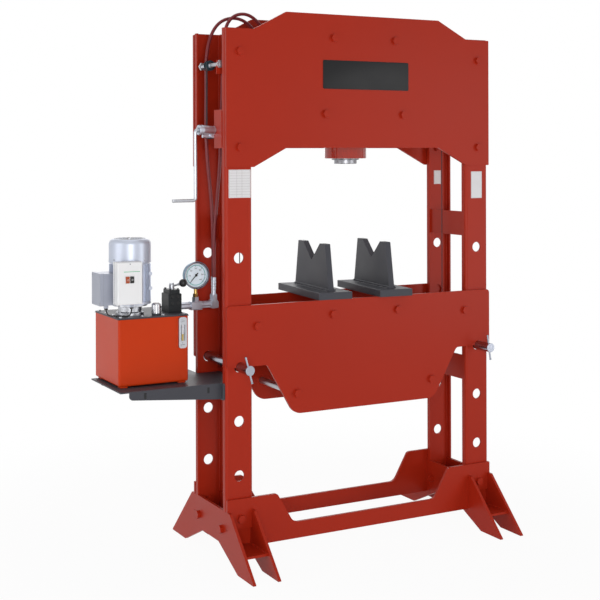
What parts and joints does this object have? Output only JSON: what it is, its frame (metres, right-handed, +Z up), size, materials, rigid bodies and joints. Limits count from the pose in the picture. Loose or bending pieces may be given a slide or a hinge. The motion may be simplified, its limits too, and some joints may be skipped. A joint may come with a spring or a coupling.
{
  "type": "hydraulic press",
  "caption": "Floor-standing H-frame hydraulic press with channel columns, pinned table, V-blocks, electric power unit on a side shelf and a hand winch for the table",
  "frame": {"origin": "on the floor in the middle of the footprint", "axes": "+X to the operator's right, +Y away from the operator, +Z up"},
  "size_m": [1.781, 0.8154, 2.2585],
  "materials": {
    "red_paint": "glossy red paint",
    "tank_paint": "glossy orange-red paint",
    "dark_paint": "dark grey satin paint",
    "grey_paint": "light blue-grey paint",
    "bare_plate": "bare plates",
    "zinc": "zinc plated steel",
    "chrome": "hard chrome",
    "machined": "machined steel",
    "brass": "brass",
    "black_plastic": "black plastic",
    "red_plastic": "red plastic",
    "white_plastic": "light plastic",
    "clear": "clear glass",
    "hose_rubber": "hose cover",
    "rope": "steel wire rope"
  },
  "bodies": {
    "press": {"column_front_left": "red_paint", "column_front_right": "red_paint", "column_rear_left": "red_paint", "column_rear_right": "red_paint", "crosshead_front": "red_paint", "crosshead_rear": "red_paint", "frame_spacers": "red_paint", "frame_bolts": "red_paint", "cylinder_barrel": "red_paint", "base_tie_front": "red_paint", "base_tie_rear": "red_paint", "foot_left": "red_paint", "foot_right": "red_paint", "rope_brackets": "red_paint", "tank": "tank_paint", "shelf": "dark_paint", "tank_lid": "dark_paint", "valve_block": "dark_paint", "motor": "grey_paint", "fan_cover": "grey_paint", "terminal_box": "grey_paint", "gauge_case": "grey_paint", "name_plate": "bare_plate", "pipes": "zinc", "winch_case": "zinc", "bell_housing": "zinc", "sight_gauge": "zinc", "zinc_fasteners": "zinc", "cylinder_ends": "machined", "gauge_nipple": "brass", "motor_cable": "black_plastic", "switch_box": "white_plastic", "gauge_dial": "white_plastic", "gauge_glass": "clear", "sight_tube": "clear", "hose_pressure": "hose_rubber", "hose_return": "hose_rubber", "guide_ropes": "rope"},
    "ram": {"piston_rod": "chrome"},
    "table": {"table_front": "red_paint", "table_rear": "red_paint", "table_spacers": "zinc", "table_bolts": "red_paint", "vee_block_left": "dark_paint", "vee_block_right": "dark_paint", "rope_left": "rope", "rope_right": "rope"},
    "left_pin": {"pin_left": "zinc"},
    "right_pin": {"pin_right": "zinc"},
    "lever": {"valve_lever": "zinc", "valve_knob": "black_plastic"},
    "start_button": {"button_start": "black_plastic"},
    "stop_button": {"button_stop": "red_plastic"},
    "needle": {"gauge_needle": "black_plastic"},
    "breather_cap": {"filler_cap": "chrome"},
    "crank": {"winch_crank": "zinc"},
    "drum": {"winch_drum": "zinc"},
    "roller": {"guide_roller": "zinc"},
    "pulley_left": {"lift_pulley_left": "machined"},
    "pulley_right": {"lift_pulley_right": "machined"}
  },
  "joints": [
    {"name": "ram_slide", "type": "slide", "parent": "press", "child": "ram", "axis": [0, 0, -1], "range_m": [0, 0.25]},
    {"name": "table_lift", "type": "slide", "parent": "press", "child": "table", "axis": [0, 0, 1], "range_m": [0, 0.22], "deforming": ["rope_left", "rope_right"]},
    {"name": "left_pin_pull", "type": "slide", "parent": "press", "child": "left_pin", "axis": [0, -1, 0], "range_m": [0, 0.36]},
    {"name": "right_pin_pull", "type": "slide", "parent": "press", "child": "right_pin", "axis": [0, -1, 0], "range_m": [0, 0.36]},
    {"name": "valve_swing", "type": "hinge", "parent": "press", "child": "lever", "pos_m": [-0.5725, 0.045, 1.118], "axis": [0, 0, 1], "range_deg": [-60, 5], "stiffness_Nm_per_rad": 1},
    {"name": "start_press", "type": "slide", "parent": "press", "child": "start_button", "axis": [0, 1, 0], "range_m": [0, 0.004], "stiffness_N_per_m": 400},
    {"name": "stop_press", "type": "slide", "parent": "press", "child": "stop_button", "axis": [0, 1, 0], "range_m": [0, 0.004], "stiffness_N_per_m": 400},
    {"name": "needle_turn", "type": "hinge", "parent": "press", "child": "needle", "pos_m": [-0.4675, 0.037, 1.159], "axis": [0, 1, 0], "range_deg": [0, 270]},
    {"name": "cap_turn", "type": "hinge", "parent": "press", "child": "breather_cap", "pos_m": [-0.6625, -0.012, 1.04], "axis": [0, 0, 1], "range_deg": [0, 90]},
    {"name": "crank_turn", "type": "hinge", "parent": "press", "child": "crank", "pos_m": [-0.5095, -0.058, 1.758], "axis": [1, 0, 0], "continuous": true},
    {"name": "drum_turn", "type": "hinge", "parent": "press", "child": "drum", "pos_m": [-0.4205, 0, 1.743], "axis": [0, 1, 0], "continuous": true},
    {"name": "roller_turn", "type": "hinge", "parent": "press", "child": "roller", "pos_m": [-0.4205, 0, 2.025], "axis": [0, 1, 0], "continuous": true},
    {"name": "left_pulley_turn", "type": "hinge", "parent": "press", "child": "pulley_left", "pos_m": [-0.31, -0.005, 2.0155], "axis": [0, 1, 0], "continuous": true},
    {"name": "right_pulley_turn", "type": "hinge", "parent": "press", "child": "pulley_right", "pos_m": [0.72, 0.005, 2.0155], "axis": [0, 1, 0], "continuous": true}
  ],
  "couplings": [
    {"joint": "drum_turn", "follows": "table_lift", "rad_per_m": -76.923},
    {"joint": "roller_turn", "follows": "table_lift", "rad_per_m": -76.923},
    {"joint": "left_pulley_turn", "follows": "table_lift", "rad_per_m": -44.444},
    {"joint": "right_pulley_turn", "follows": "table_lift", "rad_per_m": -44.444},
    {"joint": "crank_turn", "follows": "table_lift", "rad_per_m": 461.54}
  ]
}
